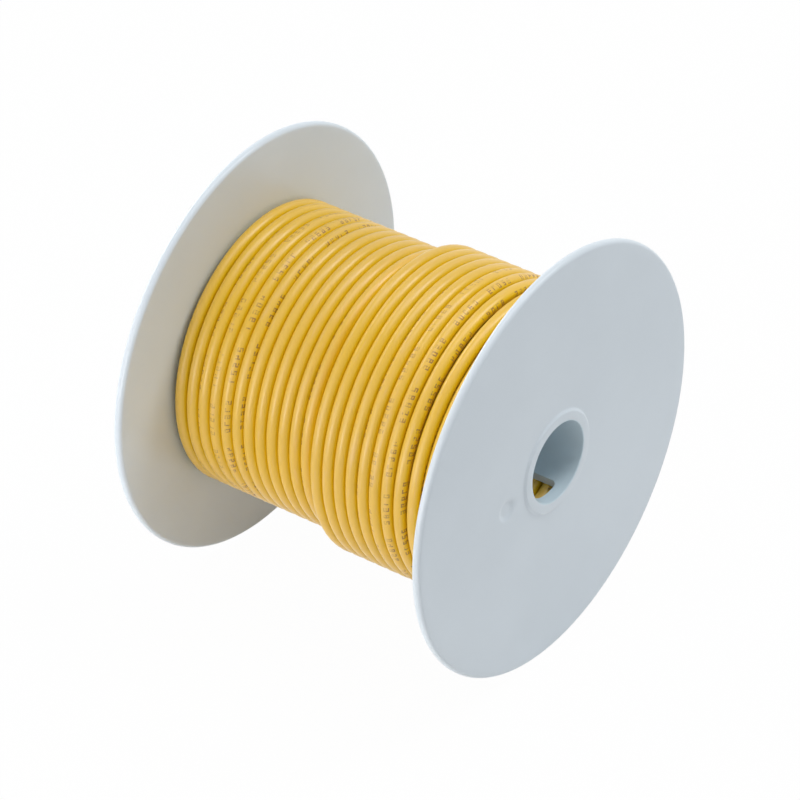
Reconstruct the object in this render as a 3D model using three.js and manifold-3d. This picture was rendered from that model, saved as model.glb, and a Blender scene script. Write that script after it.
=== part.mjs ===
// A spool of insulated wire: two moulded flanges on a hollow barrel, level wound with wire.
//
// Units are millimetres and +Z is up. The spool's axis is Y, and it stands on its two rims.
// The origin is on the axis, midway between the flanges. The near flange is the one at -Y.
// Angles round the drum are measured from +X towards +Z.

import * as THREE from 'three';
import { mergeVertices } from 'three/addons/utils/BufferGeometryUtils.js';
import Module from 'manifold-3d';

const wasm = await Module();
wasm.setup();

// ---------------------------------------------------------------- driving dimensions

// The moulded spool
const FLANGE_RADIUS = 50.8;
const OVERALL_WIDTH = 82.55;
const FLANGE_THICKNESS = 2.1;
const RIM_ROUNDING = 0.9;
const BORE_RADIUS = 9.65;
const BORE_ROUNDING = 0.2;
const BARREL_WALL = 1.6;
const COLLAR_RADIUS = 11.75;
const COLLAR_SLOPE = 0.8;
const COLLAR_HEIGHT = 0.5;
const SOCKET_DEPTH = 1.2;

// The mark that the mould's gate leaves on a flange's outer face, seen from outside
const GATE_ACROSS = 18.5;
const GATE_HEIGHT = -2.1;
const GATE_RADIUS = 3.0;
const GATE_DEPTH = 0.5;

// The window through the barrel's underside, beside the near flange
const WINDOW_WIDTH = 7.8;
const WINDOW_LENGTH = 9.2;
const WINDOW_CORNER = 1.2;

// The wire, and how it is wound
const WIRE_DIAMETER = 3.1;
const CONDUCTOR_DIAMETER = 1.2;
const PITCH = 3.135;
const LAYER_RISE = 2.735;
const WINDING_SHIFT = 0.75;
const GROOVE_LEAN = 1.0;
const CROSS_LIFT = 0.37;
const STEPS_PER_TURN = 24;
const CROSS_STEPS = 7;
const LOWER_LAYER = 8;
const LOWER_TURNS = 12;
const TOP_LAYER = 9;
const TOP_TURNS = 11;
const FLANGE_LEAN = 1.5;
const FLANGE_TWIST = 3.5;
const FLANGE_SAG = 0.45;
const EARLY_SAG = 0.4;

// Faceting and running gaps
const ROUND_STEPS = 64;
const TUBE_SIDES = 6;
const TUBE_DIAMETER = 2.64;
const SEAT_GAP = 0.3;

// ---------------------------------------------------------------- sizes that follow

const TRAVERSE = OVERALL_WIDTH - 2 * FLANGE_THICKNESS;
const BARREL_RADIUS = BORE_RADIUS + BARREL_WALL;
const CROSS_SHARE = CROSS_STEPS / STEPS_PER_TURN;
const GROOVE_MIDDLE = (1 + CROSS_SHARE) / 2;
const TURN_START = -Math.PI / 2;
const FLANGE_LIMIT = TRAVERSE / 2 - TUBE_DIAMETER / 2 - SEAT_GAP;
const CORE_CLEARANCE = (TUBE_DIAMETER / 2 + SEAT_GAP) / Math.cos(Math.PI / STEPS_PER_TURN);

// ---------------------------------------------------------------- materials

const whitePlastic = new THREE.MeshStandardMaterial({ color: 0xe3e6ea, roughness: 0.45, metalness: 0 });
const yellowSleeve = new THREE.MeshStandardMaterial({ color: 0xeabb4c, roughness: 0.4, metalness: 0 });
const tinnedCopper = new THREE.MeshStandardMaterial({ color: 0xc9c4bb, roughness: 0.35, metalness: 1 });

// ---------------------------------------------------------------- helpers

const smooth = (t) => t * t * (3 - 2 * t);

const clamp = (t) => Math.min(1, Math.max(0, t));

// Points of an arc in a profile's plane, both ends included. Angles are in degrees.
function arc(centreX, centreY, radius, from, to, steps) {
  const points = [];
  for (let i = 0; i <= steps; i++) {
    const angle = THREE.MathUtils.degToRad(from + ((to - from) * i) / steps);
    points.push(new THREE.Vector2(centreX + radius * Math.cos(angle), centreY + radius * Math.sin(angle)));
  }
  return points;
}

// A profile of [radius, along the axis] points that closes on itself, turned about Y.
// Half a step of turn puts a flat of the rim, not a corner, at the lowest place.
function turned(profile, steps = ROUND_STEPS) {
  return new THREE.LatheGeometry([...profile, profile[0].clone()], steps, Math.PI / steps);
}

function toSolid(geometry) {
  const bare = geometry.clone();
  bare.deleteAttribute('normal');
  bare.deleteAttribute('uv');
  const merged = mergeVertices(bare, 1e-4);
  const vertProperties = new Float32Array(merged.attributes.position.array);
  const triVerts = new Uint32Array(merged.index.array);
  return new wasm.Manifold(new wasm.Mesh({ numProp: 3, vertProperties, triVerts }));
}

function toGeometry(solid) {
  const mesh = solid.getMesh();
  const geometry = new THREE.BufferGeometry();
  geometry.setAttribute('position', new THREE.BufferAttribute(mesh.vertProperties, 3));
  geometry.setIndex(new THREE.BufferAttribute(mesh.triVerts, 1));
  geometry.computeVertexNormals();
  return geometry;
}

function cut(geometry, tool) {
  return toGeometry(toSolid(geometry).subtract(toSolid(tool)));
}

// ---------------------------------------------------------------- flange

// Both flanges come from one mould. Here the inner face is at 0 and the outer face is above it.
// The rim is rounded, a low collar with a sloping side stands round the bore, and a socket on
// the inner side takes the barrel's end.
function flangeGeometry() {
  const rimCentre = FLANGE_RADIUS - RIM_ROUNDING;
  const collarTop = FLANGE_THICKNESS + COLLAR_HEIGHT;
  const socketRadius = BARREL_RADIUS + SEAT_GAP;
  const profile = [
    ...arc(rimCentre, RIM_ROUNDING, RIM_ROUNDING, -90, 0, 3),
    ...arc(rimCentre, FLANGE_THICKNESS - RIM_ROUNDING, RIM_ROUNDING, 0, 90, 3),
    new THREE.Vector2(COLLAR_RADIUS + COLLAR_SLOPE, FLANGE_THICKNESS),
    new THREE.Vector2(COLLAR_RADIUS, collarTop),
    ...arc(BORE_RADIUS + BORE_ROUNDING, collarTop - BORE_ROUNDING, BORE_ROUNDING, 90, 180, 2),
    new THREE.Vector2(BORE_RADIUS, SOCKET_DEPTH),
    new THREE.Vector2(socketRadius, SOCKET_DEPTH),
    new THREE.Vector2(socketRadius, 0),
  ];
  return cut(turned(profile), gateDish());
}

// The shallow dish round the gate: part of a sphere, sunk into the outer face.
function gateDish() {
  const sphere = (GATE_RADIUS ** 2 + GATE_DEPTH ** 2) / (2 * GATE_DEPTH);
  const halfAngle = THREE.MathUtils.radToDeg(Math.asin(GATE_RADIUS / sphere));
  const profile = [
    ...arc(0, sphere - GATE_DEPTH, sphere, -90, -90 + halfAngle, 3),
    new THREE.Vector2(GATE_RADIUS, COLLAR_HEIGHT),
    new THREE.Vector2(0, COLLAR_HEIGHT),
  ];
  const dish = new THREE.LatheGeometry(profile, 20);
  return dish.translate(GATE_ACROSS, FLANGE_THICKNESS, GATE_HEIGHT);
}

// ---------------------------------------------------------------- barrel

// The barrel is a tube whose ends seat in the flanges' sockets, with one round-cornered window.
function barrelGeometry() {
  const half = TRAVERSE / 2 + SOCKET_DEPTH - SEAT_GAP;
  const tube = turned([
    new THREE.Vector2(BORE_RADIUS, -half),
    new THREE.Vector2(BARREL_RADIUS, -half),
    new THREE.Vector2(BARREL_RADIUS, half),
    new THREE.Vector2(BORE_RADIUS, half),
  ]);
  return cut(tube, windowTool());
}

function windowTool() {
  const side = WINDOW_WIDTH / 2 - WINDOW_CORNER;
  const start = -TRAVERSE / 2 + SEAT_GAP;
  const near = start + WINDOW_CORNER;
  const far = start + WINDOW_LENGTH - WINDOW_CORNER;
  const outline = new THREE.Shape([
    ...arc(side, near, WINDOW_CORNER, -90, 0, 3),
    ...arc(side, far, WINDOW_CORNER, 0, 90, 3),
    ...arc(-side, far, WINDOW_CORNER, 90, 180, 3),
    ...arc(-side, near, WINDOW_CORNER, 180, 270, 3),
  ]);
  const depth = BARREL_RADIUS - BORE_RADIUS / 2;
  const tool = new THREE.ExtrudeGeometry(outline, { depth, bevelEnabled: false });
  return tool.translate(0, 0, -BARREL_RADIUS - 1);
}

// ---------------------------------------------------------------- the wire's route

// Turns are counted from straight below the axis. For most of a turn the wire lies in a groove
// of the layer below, leaning a little towards the near flange. In the first part of a turn, on
// the drum's +X side, it crosses over to its next groove, and there every layer stands a whole
// wire above the last, so the winding swells.

const layerRadius = (layer) => BARREL_RADIUS + WIRE_DIAMETER / 2 + (layer - 1) * LAYER_RISE;

// How far a part of a turn lies from the turn's middle, along the axis.
const leanOf = (share) => (-GROOVE_LEAN * (share - GROOVE_MIDDLE)) / (1 - CROSS_SHARE);

// 1 where the wires cross, 0 where they lie in grooves.
function crossing(share) {
  const t = share / CROSS_SHARE;
  return t >= 1 ? 0 : smooth(clamp(t / 0.3)) * smooth(clamp((1 - t) / 0.3));
}

// 1 for the first turns of the top layer, beside the near flange, falling to 0 by the fifth.
const besideFlange = (turn) => 1 / (1 + Math.exp(2.2 * (turn - 2.3)));

// 1 just after a turn's crossing, falling to 0 a fifth of a turn on.
const earlyOf = (share) => 1 - smooth(clamp(((share - CROSS_SHARE) * 360) / 80));

// The lower layer runs from the far flange to the near one.
const lowerRoute = {
  layer: LOWER_LAYER,
  turns: LOWER_TURNS,
  centre: (turn) => (11.5 - turn) * PITCH + WINDING_SHIFT,
  twist: () => 0,
  drop: () => 0,
};

// The top layer comes back from the near flange and stops short of halfway. Its first turns have
// room to spare: they lie deeper and further apart, and start out nearer to the flange.
const topRoute = {
  layer: TOP_LAYER,
  turns: TOP_TURNS,
  centre: (turn) => (turn - 11) * PITCH + WINDING_SHIFT - FLANGE_LEAN * besideFlange(turn),
  twist: (turn, share) => FLANGE_TWIST * besideFlange(turn) * (share - GROOVE_MIDDLE),
  drop: (turn, share) => (FLANGE_SAG + EARLY_SAG * earlyOf(share)) * besideFlange(turn),
};

// The wire's centre after some turns of a route.
function wirePoint(route, turns) {
  const turn = Math.floor(turns + 1e-9);
  const share = turns - turn;
  const settle = (t, s) => Math.min(FLANGE_LIMIT, route.centre(t) + route.twist(t, s) + leanOf(s));
  let along = settle(turn, share);
  let drop = route.drop(turn, share);
  if (share < CROSS_SHARE) {
    const t = smooth(clamp(share / CROSS_SHARE));
    const from = settle(turn - 1, 1);
    along = from + (settle(turn, CROSS_SHARE) - from) * t;
    drop = route.drop(turn - 1, 1) * (1 - t) + route.drop(turn, CROSS_SHARE) * t;
  }
  const lift = (route.layer - 1) * CROSS_LIFT * crossing(share);
  const radius = layerRadius(route.layer) + lift - drop;
  const angle = TURN_START + 2 * Math.PI * turns;
  return new THREE.Vector3(radius * Math.cos(angle), along, radius * Math.sin(angle));
}

// The shown turns of a route, from its first groove on. Both ends run on straight.
function routePoints(route) {
  const points = [];
  for (let i = CROSS_STEPS; i <= route.turns * STEPS_PER_TURN; i++) {
    points.push(wirePoint(route, i / STEPS_PER_TURN));
  }
  const straightOn = (end, before) => {
    const way = end.clone().sub(before).setLength(TUBE_DIAMETER);
    return end.clone().add(way);
  };
  const last = points.length - 1;
  return [straightOn(points[0], points[1]), ...points, straightOn(points[last], points[last - 1])];
}

// The least clear space between one turn and the next, from points to the stretches between them.
function leastGap(points) {
  const stretch = new THREE.Line3();
  const nearest = new THREE.Vector3();
  let least = Infinity;
  for (let i = 0; i < points.length; i++) {
    for (let j = i + STEPS_PER_TURN / 2; j < points.length - 1; j++) {
      stretch.set(points[j], points[j + 1]).closestPointToPoint(points[i], true, nearest);
      least = Math.min(least, nearest.distanceTo(points[i]));
    }
  }
  return least - TUBE_DIAMETER;
}

// ---------------------------------------------------------------- wound turns

// One closed skin through a list of rings, each { centre, way, radius }. The way is along the wire.
function skinOf(rings, sides) {
  const position = [];
  const index = [];
  for (const { centre, way, radius } of rings) {
    const out = new THREE.Vector3(centre.x, 0, centre.z);
    out.addScaledVector(way, -out.dot(way)).normalize();
    const side = way.clone().cross(out);
    for (let k = 0; k < sides; k++) {
      const angle = (2 * Math.PI * k) / sides;
      const spoke = out.clone().multiplyScalar(Math.cos(angle)).addScaledVector(side, Math.sin(angle));
      position.push(...centre.clone().addScaledVector(spoke, radius).toArray());
    }
  }
  const last = rings.length - 1;
  for (let i = 0; i < last; i++) {
    for (let k = 0; k < sides; k++) {
      const a = i * sides + k;
      const b = i * sides + ((k + 1) % sides);
      index.push(a, b, a + sides, b, b + sides, a + sides);
    }
  }
  const startHub = position.length / 3;
  position.push(...rings[0].centre.toArray(), ...rings[last].centre.toArray());
  for (let k = 0; k < sides; k++) {
    const next = (k + 1) % sides;
    index.push(startHub, next, k, startHub + 1, last * sides + k, last * sides + next);
  }
  const geometry = new THREE.BufferGeometry();
  geometry.setAttribute('position', new THREE.Float32BufferAttribute(position, 3));
  geometry.setIndex(index);
  geometry.computeVertexNormals();
  return geometry;
}

// Rings along the points, each square to the wire there.
function ringsAlong(points, radius) {
  return points.map((centre, i) => {
    const before = points[Math.max(0, i - 1)];
    const after = points[Math.min(points.length - 1, i + 1)];
    return { centre, way: after.clone().sub(before).normalize(), radius };
  });
}

// A wound tube. At the wire's own free end it is hollow for a short way, to hold the conductor.
function woundTurns(points, hollowEnd) {
  const rings = ringsAlong(points, TUBE_DIAMETER / 2);
  if (hollowEnd) {
    const { centre, way } = rings[rings.length - 1];
    const radius = CONDUCTOR_DIAMETER / 2 / Math.cos(Math.PI / TUBE_SIDES) + SEAT_GAP;
    const floor = centre.clone().addScaledVector(way, -0.8 * TUBE_DIAMETER);
    rings.push({ centre, way, radius }, { centre: floor, way, radius });
  }
  return skinOf(rings, TUBE_SIDES);
}

// The conductor's cut end: a bundle of strands that shows just past the sleeve.
function conductorGeometry(points) {
  const rings = ringsAlong(points, CONDUCTOR_DIAMETER / 2);
  const { centre, way, radius } = rings[rings.length - 1];
  const inner = centre.clone().addScaledVector(way, SEAT_GAP - 0.8 * TUBE_DIAMETER);
  const outer = centre.clone().addScaledVector(way, SEAT_GAP);
  return skinOf([{ centre: inner, way, radius }, { centre: outer, way, radius }], 12);
}

// The layers under the shown turns, as one ring. It is as thick as the winding is there, thinner
// beside the near flange, stepped down under the lower layer, and swollen where the wires cross.
function innerLayersGeometry() {
  const end = TRAVERSE / 2 - SEAT_GAP;
  const inner = BARREL_RADIUS + 1.5 * SEAT_GAP;
  const underLower = layerRadius(LOWER_LAYER) - CORE_CLEARANCE;
  const underTop = layerRadius(TOP_LAYER) - CORE_CLEARANCE - 0.1;
  const underFlangeTurns = underTop - FLANGE_SAG - EARLY_SAG;
  const lastLower = lowerRoute.centre(LOWER_TURNS - 1) + leanOf(1);
  const step = lastLower - TUBE_DIAMETER / 2 - SEAT_GAP;
  const profile = [
    new THREE.Vector2(inner, -end),
    new THREE.Vector2(underFlangeTurns, -end),
    new THREE.Vector2(underFlangeTurns, topRoute.centre(3) - 1.2),
    new THREE.Vector2(underTop, topRoute.centre(3) + 1.8),
    new THREE.Vector2(underTop, step),
    new THREE.Vector2(underLower, step),
    new THREE.Vector2(underLower, end),
    new THREE.Vector2(inner, end),
  ];
  const ring = new THREE.LatheGeometry([...profile, profile[0].clone()], STEPS_PER_TURN);
  const place = ring.attributes.position;
  for (let i = 0; i < place.count; i++) {
    const radius = Math.hypot(place.getX(i), place.getZ(i));
    if (radius < inner + 1) continue;
    const turns = (Math.atan2(place.getZ(i), place.getX(i)) - TURN_START) / (2 * Math.PI);
    const share = turns - Math.floor(turns + 1e-6);
    const layers = place.getY(i) > step - 1e-6 && radius < underLower + 0.01 ? LOWER_LAYER : TOP_LAYER;
    const scale = 1 + ((layers - 1) * CROSS_LIFT * crossing(share)) / radius;
    place.setX(i, place.getX(i) * scale);
    place.setZ(i, place.getZ(i) * scale);
  }
  return ring;
}

// ---------------------------------------------------------------- assembly

const spool = new THREE.Group();

function add(name, geometry, material) {
  const mesh = new THREE.Mesh(geometry, material);
  mesh.name = name;
  spool.add(mesh);
  return mesh;
}

const farFlange = add('far_flange', flangeGeometry(), whitePlastic);
farFlange.position.y = TRAVERSE / 2;

const nearFlange = add('near_flange', flangeGeometry(), whitePlastic);
nearFlange.position.y = -TRAVERSE / 2;
nearFlange.rotation.z = Math.PI;

add('barrel', barrelGeometry(), whitePlastic);
add('wire_inner_layers', innerLayersGeometry(), yellowSleeve);

const lowerPoints = routePoints(lowerRoute);
const topPoints = routePoints(topRoute);
add('wire_lower_turns', woundTurns(lowerPoints, false), yellowSleeve);
add('wire_top_turns', woundTurns(topPoints, true), yellowSleeve);
add('conductor_end', conductorGeometry(topPoints), tinnedCopper);

console.log(`least gap between turns: lower ${leastGap(lowerPoints).toFixed(3)} mm`);
console.log(`least gap between turns: top ${leastGap(topPoints).toFixed(3)} mm`);

export default spool;
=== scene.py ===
# %% [markdown]
# # A spool of yellow wire
#
# The object is a small white plastic spool with twenty-eight and a half metres of yellow hook-up wire
# wound on it. It has five real pieces: two moulded flanges, the barrel between them, and the soft plastic
# sleeve and the stranded conductor of one wire. Everything here is in metres, in the frame of the packed
# CAD model: the spool's axis is Y, the near flange is at -Y, and the origin is in the middle of the bore.
#
# The CAD model holds the true places and sizes, so its box is kept first. Every piece below is built
# round it.

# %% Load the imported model
import math

import bpy
import numpy as np
from mathutils import Matrix, Vector


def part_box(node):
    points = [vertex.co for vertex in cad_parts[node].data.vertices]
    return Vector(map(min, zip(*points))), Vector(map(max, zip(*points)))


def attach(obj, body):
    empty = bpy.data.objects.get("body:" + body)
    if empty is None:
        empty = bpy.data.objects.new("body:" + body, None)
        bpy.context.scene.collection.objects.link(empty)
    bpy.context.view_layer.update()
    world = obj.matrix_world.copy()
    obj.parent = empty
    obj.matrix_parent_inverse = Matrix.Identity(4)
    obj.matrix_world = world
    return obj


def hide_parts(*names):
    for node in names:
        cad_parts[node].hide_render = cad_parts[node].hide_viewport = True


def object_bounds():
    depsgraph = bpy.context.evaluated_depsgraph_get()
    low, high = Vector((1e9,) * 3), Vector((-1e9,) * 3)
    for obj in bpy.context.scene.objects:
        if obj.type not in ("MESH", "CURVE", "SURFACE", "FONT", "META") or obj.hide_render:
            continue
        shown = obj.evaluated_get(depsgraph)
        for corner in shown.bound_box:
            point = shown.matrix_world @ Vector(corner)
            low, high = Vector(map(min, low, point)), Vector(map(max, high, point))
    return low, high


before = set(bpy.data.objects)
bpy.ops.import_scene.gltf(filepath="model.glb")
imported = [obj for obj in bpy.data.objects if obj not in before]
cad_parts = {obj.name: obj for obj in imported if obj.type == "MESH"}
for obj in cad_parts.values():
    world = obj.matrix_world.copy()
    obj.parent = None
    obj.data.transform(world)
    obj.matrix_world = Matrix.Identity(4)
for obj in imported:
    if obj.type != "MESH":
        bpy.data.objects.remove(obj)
CAD_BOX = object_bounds()
MM = 0.001
SCENE = bpy.context.scene
print("CAD nodes:", ", ".join(sorted(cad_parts)))

# %% [markdown]
# ## The camera
#
# A photograph taken from far off with a long lens flattens an object. Both flanges show as nearly the
# same ellipse, so the lens is long, and its place was solved from the two rims. A camera can be placed by
# its location and turned by hand, but an azimuth, an elevation and a distance say the same in words that
# can be checked: it looks from the left of the near flange, and from 35 degrees above the table.

# %% Place the camera
VIEW_AZIMUTH = math.radians(-53.733)
VIEW_ELEVATION = math.radians(35.141)
VIEW_DISTANCE = 1079.29 * MM
AIM_RIGHT = -0.641 * MM
AIM_UP = -0.719 * MM
SENSOR_WIDTH = 36.0
LENS = 219.82
NEAREST_SEEN = 0.05
FARTHEST_SEEN = 20


def look_at_spool():
    back = Vector((
        math.sin(VIEW_AZIMUTH) * math.cos(VIEW_ELEVATION),
        -math.cos(VIEW_AZIMUTH) * math.cos(VIEW_ELEVATION),
        math.sin(VIEW_ELEVATION),
    ))
    turned = (-back).to_track_quat("-Z", "Y")
    aim = turned @ Vector((AIM_RIGHT, AIM_UP, 0))
    lens = bpy.data.cameras.new("camera")
    lens.sensor_width = SENSOR_WIDTH
    lens.lens = LENS
    lens.clip_start = NEAREST_SEEN
    lens.clip_end = FARTHEST_SEEN
    camera = bpy.data.objects.new("camera", lens)
    camera.rotation_mode = "QUATERNION"
    camera.rotation_quaternion = turned
    camera.location = aim + back * VIEW_DISTANCE
    SCENE.collection.objects.link(camera)
    SCENE.camera = camera
    return camera


camera = look_at_spool()
print("camera at", [round(c, 4) for c in camera.location])

# %% [markdown]
# ## The route of the wire
#
# A winding machine lays the wire turn by turn from one flange to the other, then climbs and comes back,
# so odd layers run from the near flange and even ones from the far flange. A layer lies in the grooves of
# the one below, half a pitch over, and leans as that one does. It can only do so for part of a turn: once
# a turn it has to cross the groove's ridge, and the crossings pile up into a swelling on one side of the
# spool. The hidden layers are wound in just the same way, so the wire is whole and its length can be
# measured.
#
# The turns beside the near flange have room to spare. They lie a little deeper and further apart, and
# each starts out closer to the flange than it ends.
#
# The route could be a Geometry Nodes tree as well, but its points are needed again to place the strands
# at the wire's cut end, so they are worked out here, from the same sizes as the CAD model's.

# %% Sizes of the winding
BARREL_RADIUS = 11.25 * MM
WIRE_DIAMETER = 3.1 * MM
PITCH = 3.135 * MM
LAYER_RISE = 2.735 * MM
TRAVERSE = 78.35 * MM
FULL_LAYERS = 8
FULL_TURNS = 23
TOP_TURNS = 11
WINDING_SHIFT = 0.75 * MM
GROOVE_LEAN = 1.0 * MM
TURN_START = -math.pi / 2
CROSS_SHARE = 7 / 24
GROOVE_MIDDLE = (1 + CROSS_SHARE) / 2
CROSS_LIFT = 0.37 * MM
FLANGE_LEAN = 1.2 * MM
INNER_LEAN = 2.5 * MM
FLANGE_TWIST = 3.5 * MM
FLANGE_SAG = 0.45 * MM
LOOSE_TURNS = 2.3
LOOSE_FADE = 1.8
FAR_SNUG = 0.35 * MM
EARLY_SAG = 0.4 * MM
EARLY_PART = 80 / 360
SWELLING_ENDS = 0.3
CLIMB_BULGE = 2.2 * MM
CLIMB_DELAY = 0.35
FLANGE_CLEARANCE = 0.05 * MM
FLANGE_LIMIT = (TRAVERSE - WIRE_DIAMETER) / 2 - FLANGE_CLEARANCE
print("turns in all:", FULL_LAYERS * FULL_TURNS + TOP_TURNS)

# %% Where a turn lies in its groove


def clamp(x):
    return min(1.0, max(0.0, x))


def smooth(x):
    x = clamp(x)
    return x * x * (3 - 2 * x)


def beside_flange(turn):
    """1 for the loose turns against the near flange, falling to 0 some three turns away."""
    return 1 / (1 + math.exp(LOOSE_FADE * (turn - LOOSE_TURNS)))


def settled(layer, turn, share):
    """The wire's place along the axis and its radius at a share of a turn, as it lies in a groove."""
    middle = (FULL_TURNS - 1) / 2
    from_near = turn if layer % 2 else FULL_TURNS - 1 - turn + 0.5
    near = beside_flange(from_near)
    late = share - GROOVE_MIDDLE
    deep = (layer - 1) / FULL_LAYERS
    along = (from_near - middle) * PITCH + WINDING_SHIFT - GROOVE_LEAN * late / (1 - CROSS_SHARE)
    along += near * (deep * (FLANGE_TWIST * late + INNER_LEAN - FLANGE_LEAN) - INNER_LEAN)
    along += FAR_SNUG * deep * math.exp(from_near - FULL_TURNS)
    sag = FLANGE_SAG * near * deep
    if layer > FULL_LAYERS:
        sag += EARLY_SAG * near * (1 - smooth((share - CROSS_SHARE) / EARLY_PART))
    radius = BARREL_RADIUS + WIRE_DIAMETER / 2 + (layer - 1) * LAYER_RISE - sag
    return max(-FLANGE_LIMIT, min(FLANGE_LIMIT, along)), radius


def swelling(passed):
    """How much of a crossing's lift is reached, for a share of the crossing."""
    return smooth(passed / SWELLING_ENDS) * smooth((1 - passed) / SWELLING_ENDS)


def laid(layer, turn, share):
    """The same, with a crossing at the start of each turn and a climb at the start of each layer."""
    if share >= CROSS_SHARE or (layer == 1 and turn == 0):
        along, radius = settled(layer, turn, share)
    else:
        passed = share / CROSS_SHARE
        to_along, to_radius = settled(layer, turn, CROSS_SHARE)
        if turn:
            from_along, from_radius = settled(layer, turn - 1, 1)
            rise, bulge = smooth(passed), 0
        else:
            from_along, from_radius = settled(layer - 1, FULL_TURNS - 1, 1)
            rise = smooth((passed - CLIMB_DELAY) / (1 - CLIMB_DELAY))
            bulge = CLIMB_BULGE * math.sin(math.pi * passed) ** 2 * (-1 if layer % 2 else 1)
        below = layer - 1 if turn else layer - 2 + rise
        along = from_along + (to_along - from_along) * smooth(passed) + bulge
        radius = from_radius + (to_radius - from_radius) * rise + below * CROSS_LIFT * swelling(passed)
    return max(-FLANGE_LIMIT, min(FLANGE_LIMIT, along)), radius


TOP_RADIUS = settled(FULL_LAYERS + 1, TOP_TURNS - 1, GROOVE_MIDDLE)[1] + WIRE_DIAMETER / 2
print("outer radius of the top layer: %.2f mm" % (TOP_RADIUS / MM))

# %% Points along the whole wire
FINE_STEPS = 72
COARSE_STEPS = 20
SHOWN_INNER_TURNS = 3
FREE_END = 3.0 * MM


def steps_of(layer, turn):
    shown = layer >= FULL_LAYERS or (layer == 1 and turn < SHOWN_INNER_TURNS)
    return FINE_STEPS if shown else COARSE_STEPS


def wire_route():
    """Points from the wire's inner end, the way out from the axis at each, and where the turns start."""
    points, outward, starts = [], [], {}
    for layer in range(1, FULL_LAYERS + 2):
        for turn in range(TOP_TURNS if layer > FULL_LAYERS else FULL_TURNS):
            steps = steps_of(layer, turn)
            starts[layer, turn] = len(points)
            for step in range(steps):
                share = step / steps
                if layer == 1 and turn == 0 and share < CROSS_SHARE:
                    continue
                along, radius = laid(layer, turn, share)
                angle = TURN_START + 2 * math.pi * share
                direction = (math.cos(angle), 0, math.sin(angle))
                points.append((radius * direction[0], along, radius * direction[2]))
                outward.append(direction)
    along, radius = laid(FULL_LAYERS + 1, TOP_TURNS - 1, 1)
    for x in (0, FREE_END / 2, FREE_END):
        points.append((x, along, -radius))
        outward.append((0, 0, -1))
    return np.array(points), np.array(outward), starts


ROUTE, OUTWARD, TURN_POINTS = wire_route()
RUN = np.concatenate([[0], np.cumsum(np.linalg.norm(np.diff(ROUTE, axis=0), axis=1))])

# %% [markdown]
# ## A short way to write nodes
#
# Node trees are easier to read as sums than as boxes and noodles. `Value` wraps a socket, so that
# `1 - mask * 2` adds the Math nodes it stands for, and `Nodes.add` makes any other node: its settings
# first, because they can change its sockets, then the values or links of its sockets. Shader trees and
# Geometry Nodes trees both use it.

# %% Value and Nodes


class Value:
    """A number on its way through a node tree."""

    def __init__(self, nodes, socket):
        self.nodes, self.socket = nodes, socket

    def math(self, operation, *others, first=None):
        inputs = [self, *others] if first is None else [first, self, *others]
        return self.nodes.add("ShaderNodeMath", {"operation": operation}, dict(enumerate(inputs)))

    def __add__(self, other):
        return self.math("ADD", other)

    def __sub__(self, other):
        return self.math("SUBTRACT", other)

    def __mul__(self, other):
        return self.math("MULTIPLY", other)

    def __truediv__(self, other):
        return self.math("DIVIDE", other)

    def __rsub__(self, other):
        return self.math("SUBTRACT", first=other)

    __radd__, __rmul__ = __add__, __mul__


class Nodes:
    """A node tree that is being written down."""

    def __init__(self, tree):
        self.tree = tree
        self.tree.nodes.clear()

    def add(self, kind, settings=None, sockets=None, out=0):
        """Makes a node, sets its settings, then its sockets, and gives back one of its outputs."""
        node = self.tree.nodes.new(kind)
        for name, value in (settings or {}).items():
            if name == "stops":
                self.set_stops(node.color_ramp, value)
            elif name == "interpolation":
                node.color_ramp.interpolation = value
            else:
                setattr(node, name, value)
        for name, value in (sockets or {}).items():
            if isinstance(value, Value):
                self.tree.links.new(value.socket, node.inputs[name])
            else:
                node.inputs[name].default_value = value
        return Value(self, node.outputs[out]) if len(node.outputs) else node

    @staticmethod
    def set_stops(ramp, stops):
        while len(ramp.elements) < len(stops):
            ramp.elements.new(1)
        for element, (place, shade) in zip(ramp.elements, stops):
            element.position = place
            element.color = (shade, shade, shade, 1)


print("node helpers ready")

# %% [markdown]
# ## The sleeve, swept along the route
#
# The sleeve is a soft plastic tube pulled tight over the conductor. A curve object with a bevel would
# draw it, but a Geometry Nodes tree does the same and can also carry values to the surface: how far along
# the wire a point is, and which way round it. The finish needs both, for the figures printed on the wire.

# %% A tree for the sleeve


def new_geometry_tree(name, inputs):
    """An empty tree with named inputs: the tree, its writer, its inputs by name and their identifiers."""
    tree = bpy.data.node_groups.new(name, "GeometryNodeTree")
    nodes = Nodes(tree)
    tree.interface.new_socket("Geometry", in_out="OUTPUT", socket_type="NodeSocketGeometry")
    identifiers = {}
    for label, kind in inputs.items():
        identifiers[label] = tree.interface.new_socket(label, in_out="INPUT", socket_type=kind).identifier
    group = tree.nodes.new("NodeGroupInput")
    sockets = {label: Value(nodes, group.outputs[label]) for label in inputs}
    return tree, nodes, sockets, identifiers


def end_geometry_tree(nodes, geometry, material):
    """Real faces instead of instances, smooth, with their material."""
    whole = nodes.add("GeometryNodeRealizeInstances", None, {"Geometry": geometry})
    smooth_faces = nodes.add("GeometryNodeSetShadeSmooth", None, {"Geometry": whole})
    finished = nodes.add("GeometryNodeSetMaterial", None, {"Geometry": smooth_faces, "Material": material})
    nodes.add("NodeGroupOutput", None, {"Geometry": finished})


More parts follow.
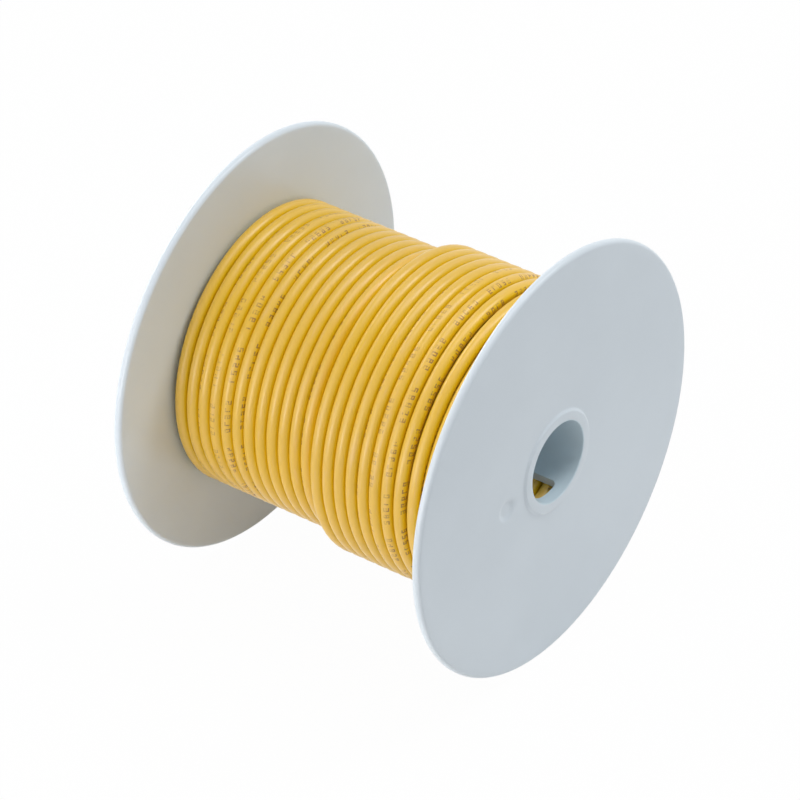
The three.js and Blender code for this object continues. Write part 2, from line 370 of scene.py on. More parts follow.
def sleeve_tree():
    tree, nodes, given, identifiers = new_geometry_tree("sleeve", {
        "Geometry": "NodeSocketGeometry",
        "Diameter": "NodeSocketFloat",
        "Sides": "NodeSocketInt",
        "Material": "NodeSocketMaterial",
    })
    line = nodes.add("GeometryNodeMeshToCurve", None, {"Mesh": given["Geometry"]})
    away = nodes.add("GeometryNodeInputNamedAttribute", {"data_type": "FLOAT_VECTOR"}, {"Name": "outward"})
    line = nodes.add("GeometryNodeSetCurveNormal", {"mode": "FREE"}, {"Curve": line, "Normal": away})
    ring = nodes.add("GeometryNodeCurvePrimitiveCircle", {"mode": "RADIUS"},
                     {"Resolution": given["Sides"], "Radius": given["Diameter"] / 2})
    place = nodes.add("GeometryNodeInputPosition")
    ring = nodes.add("GeometryNodeStoreNamedAttribute", {"data_type": "FLOAT_VECTOR", "domain": "POINT"},
                     {"Geometry": ring, "Name": "around", "Value": place})
    swept = nodes.add("GeometryNodeCurveToMesh", None,
                      {"Curve": line, "Profile Curve": ring, "Fill Caps": True})
    end_geometry_tree(nodes, swept, given["Material"])
    return tree, identifiers


SLEEVE_TREE, SLEEVE_INPUTS = sleeve_tree()
print("sleeve tree:", len(SLEEVE_TREE.nodes), "nodes")

# %% [markdown]
# ## The colours
#
# Colours are written as the sRGB numbers that a picture editor shows, and turned into the linear values
# that the renderer works in. The sleeve has a plain yellow, a deeper one that it drifts to, a pale one
# for scuffs, and a stronger one with less blue on its flanks, which is painted shade of the grooves. The
# spool has a cool white and a shade of it, and a slightly darker, greener one in the bore, which is
# painted shade. The grey of the flanges comes from the light, and the deepest gold between the turns from
# the light together with the painted groove shade.

# %% Colours and a start for every finish


def srgb(red, green, blue):
    """The linear colour for sRGB numbers from 0 to 255."""
    channels = [c / 255 for c in (red, green, blue)]
    return tuple(c / 12.92 if c <= 0.04045 else ((c + 0.055) / 1.055) ** 2.4 for c in channels) + (1.0,)


SLEEVE_YELLOW = srgb(235, 190, 82)
SLEEVE_PALE = srgb(234, 192, 124)
SLEEVE_DEEP = srgb(231, 185, 52)
# Painted shade: the flanks' stronger yellow, low in blue, stands for the shade in the grooves between
# turns.
SLEEVE_FLANK_SHADE = srgb(231, 190, 20)
INK_BROWN = srgb(138, 92, 68)
SPOOL_WHITE = srgb(227, 235, 242)
SPOOL_SHADE = srgb(224, 232, 239)
# Painted shade: the darker, greener white stands for the shade inside the bore.
SPOOL_BORE_SHADE = srgb(216, 231, 239)
TINNED_COPPER = srgb(205, 200, 192)
COPPER_SHOWING = srgb(196, 150, 118)


def start_finish(name):
    material = bpy.data.materials.new(name)
    material.use_nodes = True
    return material, Nodes(material.node_tree)


def end_finish(nodes, surface):
    nodes.add("ShaderNodeOutputMaterial", None, {"Surface": surface})


def object_millimetres(nodes):
    place = nodes.add("ShaderNodeTexCoord", None, None, out=3)
    return nodes.add("ShaderNodeVectorMath", {"operation": "SCALE"}, {0: place, "Scale": 1000.0})


def noise(nodes, place, scale, detail=2.0, roughness=0.5):
    """Noise with about so many changes to a unit of place."""
    return nodes.add("ShaderNodeTexNoise", None,
                     {"Vector": place, "Scale": scale, "Detail": detail, "Roughness": roughness})


def between(nodes, value, low, high):
    """0 below low, 1 above high, and a smooth step in between."""
    return nodes.add("ShaderNodeMapRange", {"interpolation_type": "SMOOTHSTEP"},
                     {"Value": value, "From Min": low, "From Max": high})


def patches(nodes, place, scale, low, high, detail=2.0, roughness=0.5):
    """Soft-edged patches: 0 where the noise is below low, 1 where it is above high."""
    return between(nodes, noise(nodes, place, scale, detail, roughness), low, high)


def bumps(nodes, height, strength, depth):
    """A normal for a fine relief of that depth in metres."""
    return nodes.add("ShaderNodeBump", None, {"Strength": strength, "Distance": depth, "Height": height})


def blended(nodes, factor, first, second):
    return nodes.add("ShaderNodeMix", {"data_type": "RGBA"}, {0: factor, 6: first, 7: second}, out=2)


print("yellow in linear light:", [round(c, 3) for c in SLEEVE_YELLOW[:3]])

# %% [markdown]
# ## The figures printed on the wire
#
# Wire is printed as it is made, by a wheel that rolls along it: one line of small brown figures, in
# groups, which fade where the turns have rubbed. A texture could hold them, but a picture has to be
# loaded and has a fixed sharpness. Figures of seven strokes, as on a calculator, are just rectangles, so
# each stroke is two comparisons and a ramp that knows which figures use it.
#
# The wire rolls slowly about itself as the guide lays one turn beside the other, first one way and then,
# from a place that the top layer hides, the other way. So the line comes round to the outside on a few
# turns of the lower layer and on a few of the top one, and is gone between them. Sizes here are in
# millimetres.

# %% Seven-stroke figures
FIGURE_PITCH = 1.7
FIGURE_HEIGHT = 1.4
FIGURE_WIDTH = 0.95
STROKE = 0.31
SLANT = 0.12
GROUP_CELLS = 7
GROUP_FIGURES = 5
LINE_FACES = math.radians(-28)
LINE_TWIST = 1900.0
SEEN_TURN = 4
SEEN_STEP = 3 * FINE_STEPS // 5
SEEN_BELOW = float(RUN[TURN_POINTS[FULL_LAYERS, SEEN_TURN] + SEEN_STEP]) / MM
SEEN_ABOVE = float(RUN[TURN_POINTS[FULL_LAYERS + 1, SEEN_TURN] + SEEN_STEP]) / MM
ROLLS_BACK = (SEEN_BELOW + SEEN_ABOVE) / 2

HALF_REACH = (FIGURE_HEIGHT - STROKE) / 2
SIDE = (FIGURE_WIDTH - STROKE) / 2
STROKES = [
    ((0, HALF_REACH), (FIGURE_WIDTH / 2, STROKE / 2), "02356789"),
    ((0, 0), (FIGURE_WIDTH / 2, STROKE / 2), "2345689"),
    ((0, -HALF_REACH), (FIGURE_WIDTH / 2, STROKE / 2), "0235689"),
    ((-SIDE, HALF_REACH / 2), (STROKE / 2, HALF_REACH / 2), "045689"),
    ((SIDE, HALF_REACH / 2), (STROKE / 2, HALF_REACH / 2), "01234789"),
    ((-SIDE, -HALF_REACH / 2), (STROKE / 2, HALF_REACH / 2), "0268"),
    ((SIDE, -HALF_REACH / 2), (STROKE / 2, HALF_REACH / 2), "013456789"),
]


def figures(nodes, along, across):
    """1 on the strokes of a line of figures, for places in millimetres along the line and across it."""
    leaning = along - across * SLANT
    cell = (leaning / FIGURE_PITCH).math("FLOOR")
    x = leaning - (cell + 0.5) * FIGURE_PITCH
    picked = nodes.add("ShaderNodeTexWhiteNoise", {"noise_dimensions": "1D"}, {"W": cell})
    in_group = (cell / GROUP_CELLS).math("FRACT") * GROUP_CELLS
    printed = in_group.math("LESS_THAN", GROUP_FIGURES - 0.5)
    drawn = None
    for (middle_x, middle_y), (half_x, half_y), users in STROKES:
        stops = [(i / 10, 1.0 if str(i) in users else 0.0) for i in range(10)]
        used = nodes.add("ShaderNodeValToRGB", {"interpolation": "CONSTANT", "stops": stops},
                         {"Fac": picked})
        stroke = x.math("COMPARE", middle_x, half_x) * across.math("COMPARE", middle_y, half_y) * used
        drawn = stroke if drawn is None else drawn.math("MAXIMUM", stroke)
    return drawn * printed


def printed_line(nodes, run, turned):
    """The figures, on a line that goes slowly round the wire: run is a length, and turned is an angle."""
    rolled = (run - ROLLS_BACK).math("ABSOLUTE") - (SEEN_ABOVE - ROLLS_BACK)
    line_turn = rolled * (2 * math.pi / LINE_TWIST) + LINE_FACES
    off_line = (turned - line_turn).math("WRAP", math.pi, -math.pi)
    return figures(nodes, run, off_line * (WIRE_DIAMETER / 2 / MM))


print("the printed line goes round the wire once in %.0f mm" % LINE_TWIST)

# %% [markdown]
# ## The sleeve's finish
#
# Soft PVC has a satin skin that takes faint pale scuffs where turn has rubbed on turn. The body colour
# drifts slowly towards a deeper yellow. The flanks, which face the next turns, are painted a stronger
# yellow with less blue. This is painted shade of the grooves, and it leaves the crest paler, which stands
# for the crest's sheen as a painted highlight. The scuffs are drawn out along the wire, a very fine pebble
# goes into the normal, and the printed figures lie on top, thin on the crest and worn through in places.
# Which way a point faces comes from the `around` attribute: its X points away from the axis, and its Y
# along it, away from the near flange.

# %% Finish of the sleeve
DRIFT = {"scale": 0.045, "low": 0.35, "high": 0.65}
DRIFT_TINT = 0.55
SCUFFS = {"scale": 1.6, "detail": 4, "roughness": 0.62, "low": 0.50, "high": 0.74}
SCUFF_STRETCH = 0.10
SCUFF_CHANGE = 0.013
SCUFF_TINT = 0.55
# Where the painted groove shade on the flanks gives way to the crest.
FLANK_SHADE_RANGE = {"low": 0.50, "high": 0.98}
RUBBED_CREST = {"low": 0.84, "high": 1.0}
INK_WEAR = {"scale": 0.9, "detail": 3, "roughness": 0.6, "low": 0.34, "high": 0.58}
INK_WORN = 0.10
INK_WHOLE = 0.75
INK_RUBBED_OFF = 0.55
PEBBLE = {"scale": 2.4, "detail": 3}
PEBBLE_RELIEF = {"strength": 0.10, "depth": 0.08 * MM}
SLEEVE_ROUGHNESS = 0.29
SCUFF_ROUGHNESS = 0.14
INK_ROUGHNESS = 0.1


def sleeve_finish():
    material, nodes = start_finish("wire_insulation")
    place = object_millimetres(nodes)
    run = nodes.add("ShaderNodeAttribute", {"attribute_name": "run"}, None, out=2) * 1000
    around = nodes.add("ShaderNodeAttribute", {"attribute_name": "around"}, None, out=1)
    outwards = nodes.add("ShaderNodeSeparateXYZ", None, {"Vector": around})
    sideways = Value(nodes, outwards.socket.node.outputs[1])
    turned = sideways.math("ARCTAN2", outwards)
    faces_out = (outwards / (WIRE_DIAMETER / 2)).math("ABSOLUTE")
    crest = between(nodes, faces_out, **FLANK_SHADE_RANGE)
    drawn_out = nodes.add("ShaderNodeCombineXYZ", None,
                          {"X": run * SCUFF_STRETCH, "Y": turned, "Z": run * SCUFF_CHANGE})
    drift = patches(nodes, place, **DRIFT)
    scuffs = patches(nodes, drawn_out, **SCUFFS)
    body = blended(nodes, drift * DRIFT_TINT, SLEEVE_YELLOW, SLEEVE_DEEP)
    body = blended(nodes, scuffs * SCUFF_TINT, body, SLEEVE_PALE)
    # Painted groove shade on the flanks; the crest keeps the paler body colour, which stands for its
    # sheen.
    body = blended(nodes, crest, SLEEVE_FLANK_SHADE, body)
    worn_ink = INK_WORN + patches(nodes, place, **INK_WEAR) * (INK_WHOLE - INK_WORN)
    rubbed_off = between(nodes, faces_out, **RUBBED_CREST) * INK_RUBBED_OFF
    ink = printed_line(nodes, run, turned) * worn_ink * (1 - rubbed_off)
    pebble = noise(nodes, place, **PEBBLE)
    surface = nodes.add("ShaderNodeBsdfPrincipled", None, {
        "Base Color": blended(nodes, ink, body, INK_BROWN),
        "Roughness": SLEEVE_ROUGHNESS + scuffs * SCUFF_ROUGHNESS + ink * INK_ROUGHNESS,
        "Specular IOR Level": 0.5,
        "Normal": bumps(nodes, pebble, **PEBBLE_RELIEF),
    })
    end_finish(nodes, surface)
    return material


SLEEVE = sleeve_finish()
print("sleeve finish:", len(SLEEVE.node_tree.nodes), "nodes")

# %% [markdown]
# ## The spool's finish
#
# The flanges and the barrel are moulded in a white plastic with a slightly cool tint and a satin surface.
# Moulded faces are never quite even: the flow of the plastic leaves broad, faint clouds, handling rubs
# small places duller, and the steel of the mould leaves a fine grain. Noise at three scales gives all of
# them, and the grain goes into the normal. The bore's wall is told from the rest by its distance from the
# axis, and is painted a darker, greener white there: painted shade inside the bore.

# %% Finish of the moulded spool
BORE_RADIUS = 9.65 * MM
PAST_BORE_SHADE = {"low": BORE_RADIUS / MM + 0.05, "high": BORE_RADIUS / MM + 0.4}
CLOUDS = {"scale": 0.035, "detail": 3, "low": 0.3, "high": 0.7}
RUBBED = {"scale": 0.22, "detail": 4, "roughness": 0.65, "low": 0.52, "high": 0.78}
GRAIN = {"scale": 5.0, "detail": 2}
GRAIN_RELIEF = {"strength": 0.06, "depth": 0.05 * MM}
SPOOL_ROUGHNESS = 0.28
CLOUD_ROUGHNESS = 0.06
RUBBED_ROUGHNESS = 0.08


def spool_finish():
    material, nodes = start_finish("spool_plastic")
    place = object_millimetres(nodes)
    clouds = patches(nodes, place, **CLOUDS)
    rubbed = patches(nodes, place, **RUBBED)
    grain = noise(nodes, place, **GRAIN)
    off_axis = nodes.add("ShaderNodeVectorMath", {"operation": "MULTIPLY"}, {0: place, 1: (1, 0, 1)})
    from_axis = nodes.add("ShaderNodeVectorMath", {"operation": "LENGTH"}, {0: off_axis}, out=1)
    # Painted shade: the bore's wall gets the darker, greener white.
    past_bore_shade = between(nodes, from_axis, **PAST_BORE_SHADE)
    white = blended(nodes, clouds, SPOOL_WHITE, SPOOL_SHADE)
    surface = nodes.add("ShaderNodeBsdfPrincipled", None, {
        "Base Color": blended(nodes, past_bore_shade, SPOOL_BORE_SHADE, white),
        "Roughness": SPOOL_ROUGHNESS + clouds * CLOUD_ROUGHNESS + rubbed * RUBBED_ROUGHNESS,
        "Specular IOR Level": 0.5,
        "Normal": bumps(nodes, grain, **GRAIN_RELIEF),
    })
    end_finish(nodes, surface)
    return material


SPOOL = spool_finish()
print("spool finish:", len(SPOOL.node_tree.nodes), "nodes")

# %% [markdown]
# ## The conductor's finish
#
# Each strand is copper with a thin coat of tin. The shear that cut the wire smeared the tin, so a little
# copper shows through it, and the drawn surface is slightly streaked.

# %% Finish of the strands
SMEAR = {"scale": 3.0, "detail": 3, "low": 0.50, "high": 0.72}
SMEAR_TINT = 0.6
STREAKS = {"scale": 9.0, "detail": 2}
STRAND_ROUGHNESS = 0.26
STREAK_ROUGHNESS = 0.16


def strand_finish():
    material, nodes = start_finish("wire_conductor")
    place = object_millimetres(nodes)
    smear = patches(nodes, place, **SMEAR)
    streaks = noise(nodes, place, **STREAKS)
    surface = nodes.add("ShaderNodeBsdfPrincipled", None, {
        "Base Color": blended(nodes, smear * SMEAR_TINT, TINNED_COPPER, COPPER_SHOWING),
        "Metallic": 1.0,
        "Roughness": STRAND_ROUGHNESS + streaks * STREAK_ROUGHNESS,
    })
    end_finish(nodes, surface)
    return material


STRAND = strand_finish()
print("strand finish:", len(STRAND.node_tree.nodes), "nodes")

# %% [markdown]
# ## The wire itself
#
# The route becomes a chain of edges that carries two attributes: the direction away from the spool's
# axis, which keeps the tube from twisting, and the length run so far. The tree then sweeps the sleeve
# along it.

# %% Sweep the sleeve
SLEEVE_SIDES = 16


def link(name, mesh):
    piece = bpy.data.objects.new(name, mesh)
    SCENE.collection.objects.link(piece)
    return piece


def chain_of_edges(name, points, outward, run):
    mesh = bpy.data.meshes.new(name)
    mesh.from_pydata(points.tolist(), [(i, i + 1) for i in range(len(points) - 1)], [])
    mesh.attributes.new("outward", "FLOAT_VECTOR", "POINT").data.foreach_set("vector", outward.ravel())
    mesh.attributes.new("run", "FLOAT", "POINT").data.foreach_set("value", run)
    return mesh


def grow(piece, tree, identifiers, values):
    """Runs a Geometry Nodes tree on a piece, and keeps the result as its plain mesh."""
    modifier = piece.modifiers.new(tree.name, "NODES")
    modifier.node_group = tree
    for label, value in values.items():
        modifier[identifiers[label]] = value
    keep_result(piece)


def keep_result(piece):
    """Bakes a piece's modifiers into its mesh."""
    graph = bpy.context.evaluated_depsgraph_get()
    mesh = bpy.data.meshes.new_from_object(
        piece.evaluated_get(graph), preserve_all_data_layers=True, depsgraph=graph)
    piece.modifiers.clear()
    piece.data = mesh
    mesh.name = piece.name


wire = link("wire", chain_of_edges("wire", ROUTE, OUTWARD, RUN))
grow(wire, SLEEVE_TREE, SLEEVE_INPUTS,
     {"Diameter": WIRE_DIAMETER, "Sides": SLEEVE_SIDES, "Material": SLEEVE})
print("wire:", len(wire.data.polygons), "faces", list(wire.data.attributes.keys()))

# %% [markdown]
# ## The strands at the cut end
#
# Where the wire was cut, nineteen fine strands show: one, six round it, and twelve round those. One
# strand is made and placed on the points of two circles and a centre, which is just what instances are
# for. The bundle is then given the slight twist that a stranding machine leaves, and moved to the wire's
# free end.

# %% A tree for the bundle
STRAND_DIAMETER = 0.29 * MM
STRAND_RINGS = (6, 12)
STRAND_SIDES = 10
STRAND_STEPS = 6
STRAND_FILLS = 0.98
STRAND_LENGTH = 3.0 * MM
STRAND_PROUD = 0.4 * MM
LAY_LENGTH = 22.0 * MM


def bundle_tree():
    tree, nodes, given, identifiers = new_geometry_tree("bundle", {
        "Strand Diameter": "NodeSocketFloat",
        "Length": "NodeSocketFloat",
        "Lay Length": "NodeSocketFloat",
        "Material": "NodeSocketMaterial",
    })
    joined = tree.nodes.new("GeometryNodeJoinGeometry")
    rings = [nodes.add("GeometryNodeMeshLine", None, {"Count": 1})]
    for ring, count in enumerate(STRAND_RINGS, 1):
        rings.append(nodes.add("GeometryNodeMeshCircle", None,
                               {"Vertices": count, "Radius": given["Strand Diameter"] * ring}))
    for ring in rings:
        tree.links.new(ring.socket, joined.inputs[0])
    strand = nodes.add("GeometryNodeMeshCylinder", None, {
        "Vertices": STRAND_SIDES,
        "Side Segments": STRAND_STEPS,
        "Radius": given["Strand Diameter"] * (STRAND_FILLS / 2),
        "Depth": given["Length"],
    })
    placed = nodes.add("GeometryNodeInstanceOnPoints", None,
                       {"Points": Value(nodes, joined.outputs[0]), "Instance": strand})
    loose = nodes.add("GeometryNodeRealizeInstances", None, {"Geometry": placed})
    place = nodes.add("GeometryNodeInputPosition")
    parts = nodes.add("ShaderNodeSeparateXYZ", None, {"Vector": place})
    height = Value(nodes, parts.socket.node.outputs[2])
    turned = nodes.add("ShaderNodeVectorRotate", {"rotation_type": "Z_AXIS"},
                       {"Vector": place, "Angle": height / given["Lay Length"] * (2 * math.pi)})
    twisted = nodes.add("GeometryNodeSetPosition", None, {"Geometry": loose, "Position": turned})
    end_geometry_tree(nodes, twisted, given["Material"])
    return tree, identifiers


BUNDLE_TREE, BUNDLE_INPUTS = bundle_tree()
strands = link("conductor_strands", bpy.data.meshes.new("conductor_strands"))
grow(strands, BUNDLE_TREE, BUNDLE_INPUTS, {
    "Strand Diameter": STRAND_DIAMETER,
    "Length": STRAND_LENGTH,
    "Lay Length": LAY_LENGTH,
    "Material": STRAND,
})
CUT_FACE = Vector(ROUTE[-1])
ALONG_WIRE = (Vector(ROUTE[-1]) - Vector(ROUTE[-2])).normalized()
strands.data.transform(
    Matrix.Translation(CUT_FACE + ALONG_WIRE * (STRAND_PROUD - STRAND_LENGTH / 2))
    @ ALONG_WIRE.to_track_quat("Z", "Y").to_matrix().to_4x4())
print("strands:", len(strands.data.polygons), "faces, ends at", [round(c, 4) for c in CUT_FACE])

# %% [markdown]
# ## The flanges
#
# Each flange is a thin moulded disc: a rounded rim, flat faces, a low collar with a sloping side round
# the bore, and a socket inside that takes the barrel's end. It is a turned shape, so half a section is
# drawn as points, with arcs at its round edges, and turned about the axis. Blender's Screw modifier would
# turn it too, but writing the rings directly leaves them free to gather where the gate mark needs them.
#
# The gate mark is the shallow dish beside the collar, where the plastic entered the mould.

# %% Sizes of the flange
FLANGE_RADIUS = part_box("near_flange")[1].x
FLANGE_THICKNESS = 2.1 * MM
INNER_FACE = TRAVERSE / 2
FACE_PLACE = INNER_FACE + FLANGE_THICKNESS
COLLAR_HEIGHT = 0.5 * MM
COLLAR_PLACE = FACE_PLACE + COLLAR_HEIGHT
RIM_ROUNDING = 0.9 * MM
BORE_ROUNDING = 0.2 * MM
COLLAR_RADIUS = 11.75 * MM
COLLAR_SLOPE = 0.8 * MM
COLLAR_STEPS = 9
SOCKET_RADIUS = 11.55 * MM
SOCKET_DEPTH = 1.2 * MM
GATE_PLACE = (18.5 * MM, -2.1 * MM)
GATE_RADIUS = 3.0 * MM
GATE_DEPTH = 0.5 * MM
GATE_FLOOR = 0.55
ON_FACE = 0.01 * MM
FACE_RING_GAP = 1.6 * MM
GATE_RING_GAP = 0.35 * MM
BACK_RING_GAP = 4 * MM
BACK_MARGIN = 1 * MM
FIRST_FACE_RING = 0.3 * MM
LAST_FACE_RING = 0.4 * MM
FLANGE_SEGMENTS = 288
FLANGE_CREASE = 40
print("flange: radius %.2f mm, face at %.3f mm" % (FLANGE_RADIUS / MM, FACE_PLACE / MM))

# %% Half a section of the flange


def arc(middle, radius, start, end, count=8):
    """Points on a round edge, with angles in degrees."""
    angles = np.radians(np.linspace(start, end, count))
    return [(middle[0] + radius * math.cos(a), middle[1] + radius * math.sin(a)) for a in angles]


def face_rings(inner, outer):
    """Radii across the flat face, close together where the gate mark is."""
    radii, radius = [], inner
    while radius < outer:
        radii.append(radius)
        near_gate = abs(radius - GATE_PLACE[0]) < GATE_RADIUS + 2 * GATE_RING_GAP
        radius += GATE_RING_GAP if near_gate else FACE_RING_GAP
    return radii


def flange_section():
    """Radius and place along the axis, round the section of the flange at +Y, starting in the bore."""
    soft = BORE_ROUNDING
    rim = FLANGE_RADIUS - RIM_ROUNDING
    section = [(BORE_RADIUS, INNER_FACE + SOCKET_DEPTH), (BORE_RADIUS, COLLAR_PLACE - 2 * soft)]
    section += arc((BORE_RADIUS + soft, COLLAR_PLACE - soft), soft, 180, 90)
    section += [(COLLAR_RADIUS + COLLAR_SLOPE * t, COLLAR_PLACE - COLLAR_HEIGHT * smooth(t))
                for t in np.linspace(0, 1, COLLAR_STEPS)]
    foot = COLLAR_RADIUS + COLLAR_SLOPE + FIRST_FACE_RING
    section += [(radius, FACE_PLACE) for radius in face_rings(foot, rim - LAST_FACE_RING)]
    section += arc((rim, FACE_PLACE - RIM_ROUNDING), RIM_ROUNDING, 90, 0)
    section += arc((rim, INNER_FACE + RIM_ROUNDING), RIM_ROUNDING, 0, -90)
    back_rings = np.arange(rim - BACK_MARGIN, SOCKET_RADIUS + BACK_MARGIN, -BACK_RING_GAP)
    section += [(radius, INNER_FACE) for radius in back_rings]
    section += [(SOCKET_RADIUS, INNER_FACE), (SOCKET_RADIUS, INNER_FACE + SOCKET_DEPTH)]
    return section


def turned_mesh(name, section, segments):
    """A closed section turned about Y, and closed on itself."""
    count = len(section)
    vertices, faces = [], []
    for step in range(segments):
        angle = 2 * math.pi * step / segments
        vertices += [(r * math.cos(angle), y, r * math.sin(angle)) for r, y in section]
        ahead = (step + 1) % segments
        for i in range(count):
            j = (i + 1) % count
            faces.append((step * count + i, step * count + j, ahead * count + j, ahead * count + i))
    mesh = bpy.data.meshes.new(name)
    mesh.from_pydata(vertices, [], faces)
    return mesh


def dish_gate(mesh):
    """Presses the gate mark into the outer face."""
    for vertex in mesh.vertices:
        x, y, z = vertex.co
        away = math.hypot(x - GATE_PLACE[0], z - GATE_PLACE[1]) / GATE_RADIUS
        if away < 1 and abs(y - FACE_PLACE) < ON_FACE:
            vertex.co.y = y - GATE_DEPTH * (1 - smooth((away - GATE_FLOOR) / (1 - GATE_FLOOR)))


def finish_mesh(mesh, material, sharp):
    """Faces smooth except across edges sharper than an angle in degrees."""
    mesh.polygons.foreach_set("use_smooth", [True] * len(mesh.polygons))
    mesh.set_sharp_from_angle(angle=math.radians(sharp))
    mesh.materials.clear()
    mesh.materials.append(material)


def flange(name, turn):
    mesh = turned_mesh(name, flange_section(), FLANGE_SEGMENTS)
    dish_gate(mesh)
    mesh.transform(Matrix.Rotation(turn, 4, "Z"))
    finish_mesh(mesh, SPOOL, FLANGE_CREASE)
    return link(name, mesh)


near_side = flange("near_flange_moulding", math.pi)
far_side = flange("far_flange_moulding", 0.0)
print("flange:", len(near_side.data.polygons), "faces each")

# %% [markdown]
# ## The barrel
#
# The barrel is a plain tube. Close to the near flange a window goes through its underside. Such a window
# can take the wire's end when winding starts, and here the innermost turns show in it. Its cutter is a
# block with rounded corners, and a Boolean takes it out of the wall, because the edge it leaves follows
# the curved wall.

# %% Turn the barrel and cut its window
BARREL_END = INNER_FACE + SOCKET_DEPTH
BARREL_SEGMENTS = 128
BARREL_RINGS = 40
BARREL_CREASE = 35
WINDOW_WIDTH = 7.8 * MM
WINDOW_LENGTH = 9.2 * MM
WINDOW_CORNER = 1.2 * MM
WINDOW_CORNER_POINTS = 7
WINDOW_GAP = 0.3 * MM
WINDOW_START = -INNER_FACE + WINDOW_GAP
CUTTER_TOP = -5 * MM
CUTTER_FOOT = -14 * MM


def barrel_section():
    places = np.linspace(-BARREL_END, BARREL_END, BARREL_RINGS)
    return [(BARREL_RADIUS, y) for y in places] + [(BORE_RADIUS, y) for y in places[::-1]]


def window_cutter():
    """A block with rounded corners that reaches down through the wall."""
    across = WINDOW_WIDTH / 2 - WINDOW_CORNER
    along = WINDOW_LENGTH / 2 - WINDOW_CORNER
    middle = WINDOW_START + WINDOW_LENGTH / 2
    quarters = ((across, along, 0), (-across, along, 90), (-across, -along, 180), (across, -along, 270))
    outline = []
    for x, y, start in quarters:
        outline += arc((x, middle + y), WINDOW_CORNER, start, start + 90, WINDOW_CORNER_POINTS)
    count = len(outline)
    vertices = [(x, y, CUTTER_FOOT) for x, y in outline] + [(x, y, CUTTER_TOP) for x, y in outline]
    faces = [tuple(range(count))[::-1], tuple(range(count, 2 * count))]
    faces += [(i, (i + 1) % count, count + (i + 1) % count, count + i) for i in range(count)]
    mesh = bpy.data.meshes.new("window")
    mesh.from_pydata(vertices, [], faces)
    return link("window", mesh)


barrel = link("barrel_tube", turned_mesh("barrel_tube", barrel_section(), BARREL_SEGMENTS))
window = window_cutter()
cut = barrel.modifiers.new("window", "BOOLEAN")
cut.object = window
cut.operation = "DIFFERENCE"
cut.solver = "EXACT"
keep_result(barrel)
bpy.data.objects.remove(window)
finish_mesh(barrel.data, SPOOL, BARREL_CREASE)
print("barrel:", len(barrel.data.polygons), "faces")

# %% [markdown]
# ## The floor and the light
#
# The photograph looks as if taken in a bright white tent: the light comes from everywhere, and the
# background is white. A world alone would light the spool too evenly, so eight lamps stand for the panels
# of the tent: a slightly cool key above the near flange, one overhead, large ones at the back, at the
# left and, very weak, at the right, and two small cards low down, which lift the near face and the wire's
# left side. Their powers were set so that faces, rims and turns come out as bright as in the photograph.
#
# The floor is a matt white sheet for most rays. The camera's own rays, and those of reflections and of
# clear materials, see it lit from within, so that it goes to white and still keeps a faint shadow.

# %% Floor
FLOOR_SIZE = 3.0
FLOOR_GLOW = 0.98
FLOOR_WHITE = srgb(236, 236, 236)


def seen_directly(nodes):
    """1 for rays that the camera, a reflection or a clear material sends."""
    path = nodes.add("ShaderNodeLightPath").socket.node.outputs
    kinds = ("Is Camera Ray", "Is Glossy Ray", "Is Transmission Ray")
    direct = [Value(nodes, path[kind]) for kind in kinds]
    return direct[0].math("MAXIMUM", direct[1]).math("MAXIMUM", direct[2])


def floor_finish():
    material, nodes = start_finish("floor_sheet")
    matt = nodes.add("ShaderNodeBsdfDiffuse", None, {"Color": FLOOR_WHITE})
    glow = nodes.add("ShaderNodeEmission", None, {"Color": (1, 1, 1, 1), "Strength": 1.0})
    end_finish(nodes, nodes.add("ShaderNodeMixShader", None,
                                {0: seen_directly(nodes) * FLOOR_GLOW, 1: matt, 2: glow}))
    return material


def make_floor():
    half = FLOOR_SIZE / 2
    level = CAD_BOX[0].z
    mesh = bpy.data.meshes.new("floor")
    sheet = [(-half, -half, level), (half, -half, level), (half, half, level), (-half, half, level)]
    mesh.from_pydata(sheet, [], [(0, 1, 2, 3)])
    mesh.materials.append(floor_finish())
    return link("floor", mesh)


floor = make_floor()
print("floor at %.2f mm" % (CAD_BOX[0].z / MM))

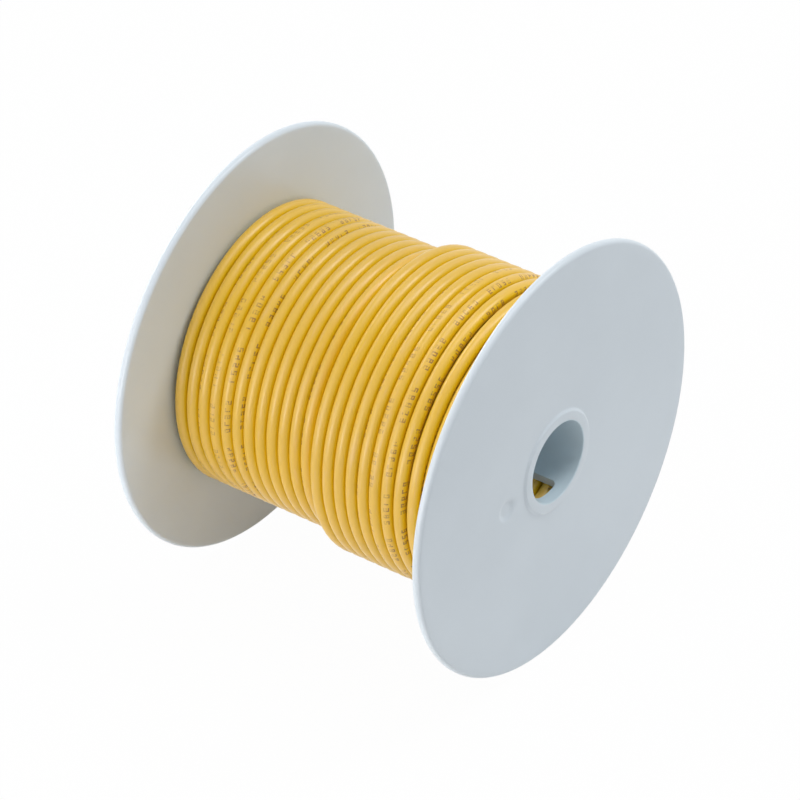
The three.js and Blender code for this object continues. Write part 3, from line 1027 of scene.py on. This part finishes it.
# %% World and lamps
SKY_TINT = (0.95, 0.98, 1.0, 1.0)
SKY_STRENGTH = 0.19
WHITE_LIGHT = (1.0, 1.0, 1.0)
COOL_LIGHT = (0.93, 0.98, 1.0)
LAMPS = {
    "key": {"place": (0.52, -0.42, 0.88), "width": 0.5, "power": 4.4, "tint": COOL_LIGHT},
    "overhead": {"place": (0.1, -0.05, 1.1), "width": 0.8, "power": 4.3},
    "left": {"place": (-1.1, 0.1, 0.25), "width": 0.7, "power": 2.7},
    "back_left": {"place": (-0.85, 0.65, 0.25), "width": 0.8, "power": 1.8},
    "back": {"place": (0.1, 1.1, 0.3), "width": 0.8, "power": 6.3},
    "right": {"place": (1.1, 0.0, 0.25), "width": 0.9, "power": 0.3},
    "front_card": {"place": (0.02, -0.22, -0.045), "width": 0.1, "power": 0.025, "tint": COOL_LIGHT},
    "left_card": {"place": (-0.28, 0.08, -0.02), "width": 0.12, "power": 0.166},
}


def make_world():
    world = bpy.data.worlds.new("white_tent")
    world.use_nodes = True
    nodes = Nodes(world.node_tree)
    sky = nodes.add("ShaderNodeBackground", None, {"Color": SKY_TINT, "Strength": SKY_STRENGTH})
    backdrop = nodes.add("ShaderNodeBackground", None, {"Color": (1, 1, 1, 1), "Strength": 1.0})
    seen = nodes.add("ShaderNodeMixShader", None, {0: seen_directly(nodes), 1: sky, 2: backdrop})
    nodes.add("ShaderNodeOutputWorld", None, {"Surface": seen})
    SCENE.world = world


def make_lamp(name, place, width, power, tint=WHITE_LIGHT):
    light = bpy.data.lights.new(name, "AREA")
    light.color = tint
    light.shape = "DISK"
    light.size = width
    light.energy = power
    lamp = bpy.data.objects.new(name, light)
    lamp.location = place
    lamp.rotation_mode = "QUATERNION"
    lamp.rotation_quaternion = (-Vector(place)).to_track_quat("-Z", "Y")
    lamp.visible_camera = False
    SCENE.collection.objects.link(lamp)


make_world()
for name, lamp in LAMPS.items():
    make_lamp(name, **lamp)
SCENE.view_settings.view_transform = "Standard"
print("world and lamps ready")

# %% [markdown]
# ## Join the looks to the CAD model
#
# Every piece rides on the spool's one body, and stands for the CAD solids it was built round. The wire
# rides on it as well, in place of the CAD model's wire solids.

# %% Ride and replace
STANDS_FOR = {
    near_side: ("near_flange", "spool_plastic"),
    far_side: ("far_flange", "spool_plastic"),
    barrel: ("barrel", "spool_plastic"),
    strands: ("conductor_end", "wire_conductor"),
}
for piece, (node, slot) in STANDS_FOR.items():
    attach(piece, "root")
    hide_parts(node)
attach(wire, "root")
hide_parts("wire_inner_layers", "wire_lower_turns", "wire_top_turns")
